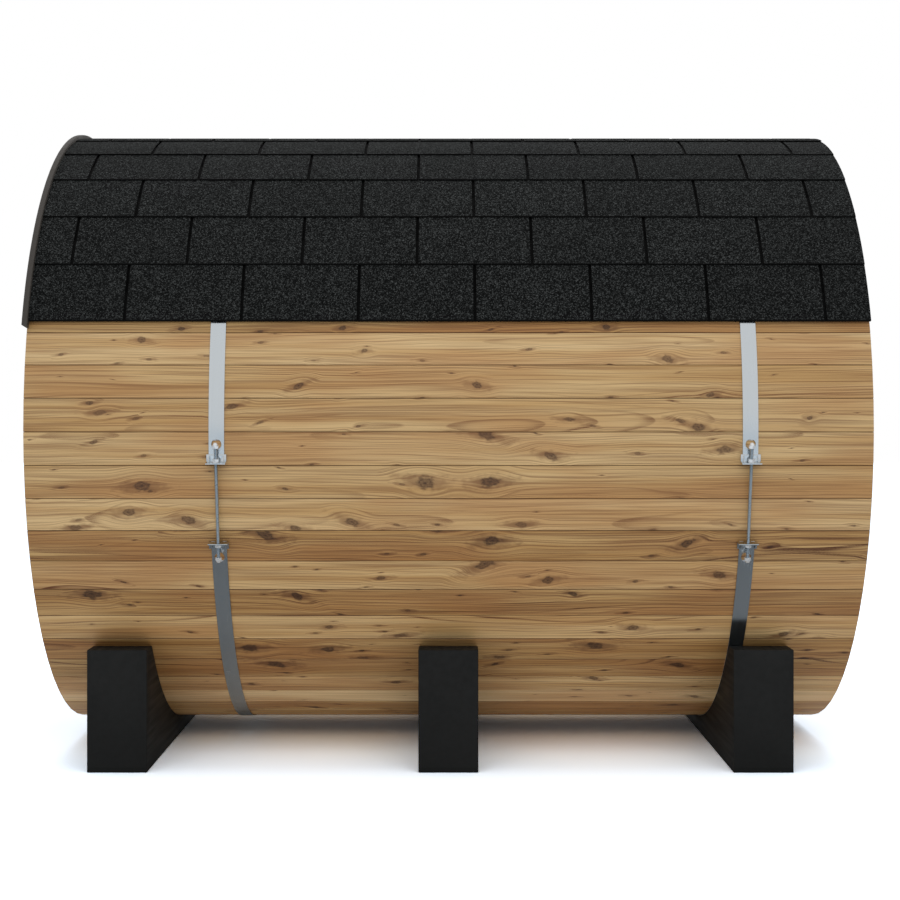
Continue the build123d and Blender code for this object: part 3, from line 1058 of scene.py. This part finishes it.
def cut(piece, tool):
    """Cut one piece away from another, and put the tool back in the drawer."""
    clean(tool)
    apply_modifier(piece, "BOOLEAN", operation="DIFFERENCE", solver="EXACT", object=tool)
    bpy.data.objects.remove(tool)


def punches(side):
    """The drill and the block for one strap end, at the crown: side 1 is the upper strap, -1 the lower."""
    drill = fresh(
        bpy.ops.mesh.primitive_cylinder_add, vertices=40, radius=round_hole_radius, depth=punch_depth,
        location=(0, side * end_nut_place, barrel_radius),
    )
    block = fresh(bpy.ops.mesh.primitive_cube_add, size=1, location=(0, side * flange_place, barrel_radius))
    block.scale = (notch_width, 2 * notch_length, block_height)
    for tool in (drill, block):
        settle(tool)
    return drill, block


def strap(start, end, steps, x, side):
    piece = section(strap_width, strap_thickness, x, strap_radius, start)
    spin_round(piece, start, end, steps)
    for far in (False, True):
        for tool in punches(side):
            round_barrel(tool, tensioner_angle, x)
            cut(piece, to_far_side(tool) if far else tool)
    soften(piece, edge_rounding, 1, 40)
    return piece


upper_start = tensioner_angle + flange_angle
lower_end = tensioner_angle - flange_angle
for hoop, x in hoop_places.items():
    upper = strap(upper_start, 180 - upper_start, 108, x, 1)
    upper.name = hoop + "_upper_hoop"
    put_on(upper, hoop_steel, "hoop_steel", hoop + "_upper_strap")
    lower = strap(-180 - lower_end, lower_end, 84, x, -1)
    lower.name = hoop + "_lower_hoop"
    put_on(lower, hoop_steel, "hoop_steel", hoop + "_lower_strap")

# %% [markdown]
# The rods are plain threaded rod, ten millimetres across. A thread is one small tooth carried round and
# along at the same time, which is what the Screw modifier does: one tooth's outline, as many turns as the
# rod is long.

# %% Threaded rod
rod_half_length = 0.162
thread_pitch = 0.0015
thread_crest = 0.005
thread_root = 0.0041
rod_clearance = 0.006
rod_radius_place = crest_radius + rod_clearance + thread_crest


def threaded_rod():
    turns = round(2 * rod_half_length / thread_pitch)
    first_tooth = (thread_root, 0, thread_pitch / 2)
    piece = fresh(bpy.ops.mesh.primitive_plane_add, size=1, location=first_tooth)
    piece.scale = (0, thread_pitch, 1)
    piece.rotation_euler = (math.radians(90), 0, 0)
    settle(piece)
    edit(piece)
    bpy.ops.mesh.remove_doubles(threshold=merge_distance)
    bpy.ops.mesh.subdivide(number_cuts=1)
    choose(piece, "VERT", lambda middle, vertex: abs(middle.z - thread_pitch / 2) < thread_pitch / 4)
    bpy.ops.transform.translate(value=(thread_crest - thread_root, 0, 0))
    apply_modifier(
        piece, "SCREW", axis="Z", steps=14, render_steps=14, screw_offset=thread_pitch,
        iterations=turns, use_merge_vertices=True, merge_threshold=merge_distance,
    )
    edit(piece)
    bpy.ops.mesh.remove_doubles(threshold=merge_distance)
    bpy.ops.mesh.select_non_manifold()
    bpy.ops.mesh.fill_holes(sides=0)
    clean(piece)
    piece.location = (0, rod_half_length, rod_radius_place)
    piece.rotation_euler = (math.radians(90), 0, 0)
    settle(piece)
    return piece


rod_pattern = threaded_rod()
rod_pattern.name = "rod_pattern"
print("one rod has", len(rod_pattern.data.polygons), "faces")

# %% [markdown]
# A hexagon nut is a six-sided block with a bore, and its corners are turned off to a cone. Inset and bridge
# make the bore; the cone is had by keeping only what lies inside a round blank with a chamfered rim. The
# ends of the rods wear cap nuts, which are the same nut closed by a dome: a ball, cut in half and pulled
# out a little.

# %% Nuts and washers
nut_radius = 0.0098
nut_height = 0.008
nut_bore = 0.0052
nut_chamfer = 0.0014
dome_radius = 0.0072
dome_skirt = 0.001
washer_radius = 0.0105
washer_height = 0.0016
washer_rounding = 0.0003


def bored(sides, radius, height, bore):
    """A block of so many sides along Y, with a bore through it."""
    piece = fresh(bpy.ops.mesh.primitive_cylinder_add, vertices=sides, radius=radius, depth=height)
    edit(piece)
    choose(piece, "FACE", lambda middle, face: abs(middle.z) > height / 4)
    bpy.ops.mesh.inset(thickness=radius * math.cos(math.pi / sides) - bore)
    bpy.ops.mesh.bridge_edge_loops()
    only(piece)
    piece.rotation_euler = (math.radians(90), 0, 0)
    settle(piece)
    return piece


def hexagon_nut():
    piece = bored(6, nut_radius, nut_height, nut_bore)
    blank = fresh(
        bpy.ops.mesh.primitive_cylinder_add, vertices=36, radius=nut_radius, depth=nut_height,
        rotation=(math.radians(90), 0, 0),
    )
    settle(blank)
    soften(blank, nut_chamfer, 1)
    apply_modifier(piece, "BOOLEAN", operation="INTERSECT", solver="EXACT", object=blank)
    bpy.data.objects.remove(blank)
    clean(piece)
    return piece


def cap_nut():
    """A nut with a dome on its outer side, which is towards +Y."""
    body = hexagon_nut()
    dome = fresh(bpy.ops.mesh.primitive_uv_sphere_add, segments=24, ring_count=12, radius=dome_radius)
    edit(dome)
    bpy.ops.mesh.bisect(plane_co=(0, 0, 0), plane_no=(0, 0, 1), clear_inner=True, use_fill=True)
    choose(dome, "FACE", lambda middle, face: middle.z < merge_distance)
    bpy.ops.mesh.extrude_region_move(TRANSFORM_OT_translate={"value": (0, 0, -dome_skirt)})
    only(dome)
    dome.location = (0, nut_height / 2 + dome_skirt, 0)
    dome.rotation_euler = (math.radians(-90), 0, 0)
    settle(dome)
    clean(dome)
    return join([body, dome], "cap_nut_pattern")


nut_pattern = hexagon_nut()
nut_pattern.name = "nut_pattern"
cap_pattern = cap_nut()
washer_pattern = bored(28, washer_radius, washer_height, nut_bore)
soften(washer_pattern, washer_rounding, 1)
washer_pattern.name = "washer_pattern"
print("one nut has", len(nut_pattern.data.polygons), "faces")

# %% [markdown]
# Each strap's end carries a bracket: a plate bent up into a flange that the rod goes through, stiffened by
# a small web at each side. The foot is a flat plate laid on the strap; its edge is extruded up into the
# flange, the sheet gets its thickness, the hole and the notch under the nut are cut out, and then the bend
# and all edges are rounded.

# %% Bracket
bracket_width = 0.056
bracket_foot = 0.022
bracket_plate = 0.003
foot_radius = strap_radius + strap_thickness + seat_gap
flange_rise = 0.014
flange_top = rod_radius_place + flange_rise
rod_hole_radius = 0.0055
rod_hole_depth = 0.02
nut_room = 0.0005
nut_notch_height = 0.012
plate_rounding = 0.0007
web_rounding = 0.0004
web_place = 0.0205
web_thickness = 0.0026
web_length = 0.017
web_rise = 0.016
web_in_foot_share = 0.5
web_in_flange_share = 0.8


def bent_plate():
    turn = math.radians(flange_angle) + bracket_foot / 2 / foot_radius
    foot_middle = Vector((0, math.sin(turn), math.cos(turn))) * foot_radius
    piece = fresh(bpy.ops.mesh.primitive_plane_add, size=1, location=foot_middle, rotation=(-turn, 0, 0))
    piece.scale = (bracket_width, bracket_foot, 1)
    settle(piece)
    edit(piece)
    choose(piece, "EDGE", lambda middle, edge: middle.y < foot_middle.y - bracket_foot / 4)
    low = min(vertex.co.z for vertex in bmesh.from_edit_mesh(piece.data).verts if vertex.select)
    bpy.ops.mesh.extrude_region_move(TRANSFORM_OT_translate={"value": (0, 0, flange_top - low)})
    clean(piece)
    offset = 1 if piece.data.polygons[0].normal.z > 0 else -1
    apply_modifier(piece, "SOLIDIFY", thickness=bracket_plate, offset=offset, use_even_offset=True)
    return piece


def web(x):
    """A small triangular plate between the foot and the flange."""
    piece = fresh(bpy.ops.mesh.primitive_plane_add, size=1)
    edit(piece)
    choose(piece, "VERT", lambda middle, vertex: middle.x > 0 and middle.y > 0)
    bpy.ops.mesh.delete(type="VERT")
    bpy.ops.mesh.select_all(action="SELECT")
    bpy.ops.mesh.edge_face_add()
    bpy.ops.mesh.extrude_region_move(TRANSFORM_OT_translate={"value": (0, 0, 1)})
    only(piece)
    low = foot_radius * math.cos(math.asin(flange_place / foot_radius)) + bracket_plate * web_in_foot_share
    piece.rotation_euler = (math.radians(90), 0, math.radians(90))
    piece.scale = (web_length, web_rise, web_thickness)
    middle = flange_place + bracket_plate * web_in_flange_share + web_length / 2
    piece.location = (x - web_thickness / 2, middle, low + web_rise / 2)
    settle(piece)
    clean(piece)
    return piece


def bracket():
    piece = bent_plate()
    drill = fresh(
        bpy.ops.mesh.primitive_cylinder_add, vertices=32, radius=rod_hole_radius, depth=rod_hole_depth,
        location=(0, flange_place, rod_radius_place), rotation=(math.radians(90), 0, 0),
    )
    settle(drill)
    cut(piece, drill)
    notch_middle = flange_place + bracket_plate + bracket_foot / 2 + nut_room
    notch = fresh(bpy.ops.mesh.primitive_cube_add, size=1, location=(0, notch_middle, foot_radius))
    notch.scale = (notch_width, bracket_foot, nut_notch_height)
    settle(notch)
    cut(piece, notch)
    soften(piece, plate_rounding, 2, 40)
    webs = [web(side * web_place) for side in (1, -1)]
    for part in webs:
        soften(part, web_rounding, 1, 40)
    return join([piece, *webs], "bracket_pattern")


bracket_pattern = bracket()
print("one bracket has", len(bracket_pattern.data.polygons), "faces")

# %% [markdown]
# Now the tensioners are put together, as a fitter would: a bracket on each strap end, the rod through both,
# a washer and nut behind each flange, and a cap nut on each end of the rod. The parts were modelled at the
# crown, so each set is copied, turned to its angle and, for the far side, mirrored.

# %% Tensioners
nut_place = flange_place + bracket_plate + seat_gap + nut_height / 2
washer_place = nut_place - nut_height / 2 - washer_height / 2
lower_side = Matrix.Scale(-1, 4, (0, 1, 0))


def at_both_ends(pattern, place, name):
    """A copy of a part on the rod towards the upper strap, and a mirrored one towards the lower strap."""
    pair = []
    for side in (1, -1):
        copy = again(pattern, f"{name}_{side}")
        copy.location = (0, place, rod_radius_place if place else 0)
        settle(copy)
        if side < 0:
            copy.data.transform(lower_side)
        pair.append(copy)
    return pair


def tensioner_part(pieces, hoop, side, label, material, *nodes):
    piece = join(pieces, f"{hoop}_{side}_{label}")
    round_barrel(piece, tensioner_angle, hoop_places[hoop])
    clean(piece)
    if side == "far":
        to_far_side(piece)
    return put_on(piece, material, "zinc_steel", *nodes)


for hoop in hoop_places:
    for side in ("near", "far"):
        start = f"{hoop}_{side}_"
        rod = [again(rod_pattern, "rod")]
        tensioner_part(rod, hoop, side, "threaded_rod", rod_steel, start + "rod")
        plates = at_both_ends(bracket_pattern, 0, "bracket")
        tensioner_part(plates, hoop, side, "flange_brackets", bracket_steel, start + "brackets")
        nuts = at_both_ends(nut_pattern, nut_place + washer_height, "nut")
        nuts += at_both_ends(cap_pattern, end_nut_place - nut_height / 4, "cap_nut")
        nuts += at_both_ends(washer_pattern, washer_place + washer_height, "washer")
        tensioner_part(nuts, hoop, side, "hexagon_nuts", zinc_steel, start + "nuts")
for pattern in (rod_pattern, nut_pattern, cap_pattern, washer_pattern, bracket_pattern):
    bpy.data.objects.remove(pattern)

# %% [markdown]
# The cradles are heavy timbers sawn to the barrel's curve and painted matt black. The paint is thin enough
# for a little of the grain to show in a raking light. They keep the shape of the frame, with each arris
# rounded by a few millimetres.

# %% Cradles
cradle_rounding = 0.0028


def black_paint():
    mix = Recipe("black_paint")
    place = mix.place()
    grain = mix.noise(place, (60.0, 3.0, 60.0), 3.0)
    cloud = mix.noise(place, (5.0, 5.0, 5.0), 3.0)
    colour = mix.blend(mix.ease(cloud, 0.3, 0.7), paint(24, 25, 25), paint(28, 29, 29))
    mix.bump(grain, 0.0004, 0.5)
    rough = mix.ease(grain, 0.3, 0.7, 0.55, 0.7)
    return mix.surface(base_color=colour, roughness=rough, specular_ior_level=0.2)


black = black_paint()
for name in ("front_cradle", "middle_cradle", "back_cradle"):
    cradle = copy_of_node(name)
    soften(cradle, cradle_rounding)
    put_on(cradle, black, "black_timber", name)

# %% [markdown]
# Both ends are closed by walls of upright boards, let into the staves' groove. In the frame each wall is
# one panel. It becomes boards by taking a copy for each board, cutting away what lies left and right of it
# with two bisects, and easing its arrises, so that a fine groove stands at each joint.

# %% End walls of boards
board_width = 0.096
board_rounding = 0.0022
board_gap = 0.0004
wall_seed = 20
upright = Vector((0, 0, 1))
level_way = Vector((0, 1, 0))
wall_timber = timber("wall_timber", 0.55)


def board_between(piece, low, high, name):
    """What is left of a copy of a panel between two places across it, or nothing."""
    copy = again(piece, name)
    for place, side in ((low, -1), (high, 1)):
        edit(copy)
        bpy.ops.mesh.bisect(plane_co=(0, place, 0), plane_no=(0, side, 0), use_fill=True, clear_outer=True)
        only(copy)
    if copy.data.polygons:
        return copy
    bpy.data.objects.remove(copy)
    return None


def boarded(node, along, outward, gap, rounding, material, slot, number):
    """A panel of the frame as separate boards that lie side by side in Y."""
    panel = copy_of_node(node)
    low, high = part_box(node)
    first = math.floor(low.y / board_width - 0.5)
    boards = []
    for index in range(first, math.ceil(high.y / board_width + 0.5)):
        start = (index - 0.5) * board_width
        board = board_between(panel, start + gap / 2, start + board_width - gap / 2, f"{node}_{index}")
        if board is None:
            continue
        soften(board, rounding)
        middle = Vector((0, index * board_width, 0)) + outward * high.dot(outward)
        tone = draw.uniform(*tone_range)
        knots = any_knots((high - low).dot(along) / 2)
        seed = number + index / seed_parts
        mark_grain(board, along, level_way, outward, middle, tone, seed, board_width / 2, knots)
        boards.append(board)
    bpy.data.objects.remove(panel)
    return put_on(join(boards, "boards_" + node), material, slot, node)


walls = [name for name in frame["nodes"] if "_wall" in name]
for name in walls:
    boarded(name, upright, along_barrel, board_gap, board_rounding, wall_timber, "wall_timber", wall_seed)

# %% [markdown]
# Inside lies a duckboard floor on three bearers, with gaps between its boards for water to run away. The
# boards shine less than the walls, because feet and soap keep them bare.

# %% Floor inside
deck_gap = 0.006
deck_seed = 40
bearer_rounding = 0.0015
bearer_tone = 0.8
# a half width so wide that no painted seam shade shows on the bearers
no_painted_seam = 10.0
floor_timber = timber("floor_timber", 0.65)
boarded(
    "floor_deck", along_barrel, upright, deck_gap, board_rounding, floor_timber, "floor_timber", deck_seed
)


def dress_timber(node, along, outward, rounding, material, slot, tone):
    """A timber of the frame with eased arrises and its own grain."""
    piece = copy_of_node(node)
    soften(piece, rounding)
    low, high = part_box(node)
    middle = (low + high) / 2
    across = along.cross(outward)
    knots = any_knots((high - low).dot(along) / 2)
    mark_grain(piece, along, across, outward, middle, tone, len(node), no_painted_seam, knots)
    return put_on(piece, material, slot, node)


dress_timber("floor_bearers", level_way, upright, bearer_rounding, floor_timber, "floor_timber", bearer_tone)

# %% [markdown]
# The door is a sheet of toughened glass, tinted grey-brown, in a plain timber frame, with two clamp hinges
# and a wooden grip on each face. Only the arrises need work here: glass is ground to a fine chamfer, the
# frame and the grips are sanded round, and the hinges are cast with soft edges and closed by screws.

# %% Door
door_timber = timber("door_timber", 0.5)
glass_chamfer = 0.001
door_timbers = {
    "door_jambs": {"along": upright, "rounding": 0.002, "tone": 0.92},
    "door_head": {"along": level_way, "rounding": 0.002, "tone": 0.9},
    "door_sill": {"along": level_way, "rounding": 0.002, "tone": 0.84},
    "door_handle": {"along": upright, "rounding": 0.0015, "tone": 0.86},
}
for node, look in door_timbers.items():
    dress_timber(
        node, look["along"], along_barrel, look["rounding"], door_timber, "door_timber", look["tone"]
    )


def tinted_glass():
    mix = Recipe("tinted_glass")
    smear = mix.noise(mix.place(), (6.0, 6.0, 3.0), 3.0)
    rough = mix.ease(smear, 0.3, 0.8, 0.0, 0.03)
    mix.shader.inputs["Transmission Weight"].default_value = 1.0
    mix.shader.inputs["IOR"].default_value = 1.46
    return mix.surface(base_color=paint(176, 166, 152), roughness=rough)


glass = copy_of_node("door_glass")
soften(glass, glass_chamfer, 1)
put_on(glass, tinted_glass(), "tinted_glass", "door_glass")

# %% [markdown]
# Screws are the one thing on a hinge that the eye looks for. One is modelled, a shallow round head with a
# socket sunk into it by inset and extrude, and two copies go on each clamp plate.

# %% Hinges and their screws
screw_radius = 0.0065
screw_height = 0.0028
screw_rounding = 0.0005
socket_inset_share = 0.55
socket_depth_share = 0.6
hinge_rounding = 0.0012
hinge_steel = steel("hinge_steel", paint(168, 170, 172), paint(190, 192, 194), 0.32)
hinge_low, hinge_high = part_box("door_hinges")
hinge_height = 0.070
screw_spread = 0.019


def socket_screw():
    piece = fresh(bpy.ops.mesh.primitive_cylinder_add, vertices=24, radius=screw_radius, depth=screw_height)
    edit(piece)
    choose(piece, "FACE", lambda middle, face: middle.z > screw_height / 4)
    bpy.ops.mesh.inset(thickness=screw_radius * socket_inset_share)
    socket_depth = screw_height * socket_depth_share
    bpy.ops.mesh.extrude_region_move(TRANSFORM_OT_translate={"value": (0, 0, -socket_depth)})
    only(piece)
    piece.rotation_euler = (0, math.radians(-90), 0)
    settle(piece)
    soften(piece, screw_rounding, 2, 40)
    return piece


hinges = copy_of_node("door_hinges")
soften(hinges, hinge_rounding)
screw = socket_screw()
screws = []
for centre in (hinge_low.z + hinge_height / 2, hinge_high.z - hinge_height / 2):
    for offset in (-screw_spread, screw_spread):
        copy = again(screw, "hinge_screw")
        copy.location = (hinge_low.x - screw_height / 4, (hinge_low.y + hinge_high.y) / 2, centre + offset)
        settle(copy)
        screws.append(copy)
bpy.data.objects.remove(screw)
put_on(join([hinges, *screws], "hinge_clamps"), hinge_steel, "hinge_steel", "door_hinges")

# %% [markdown]
# Every node of the frame should now be dressed, so a list of those that still show is a quick test.

# %% The finished model
left = [name for name, node in frame["nodes"].items() if not node.hide_render]
print("frame nodes that still show:", left or "none")
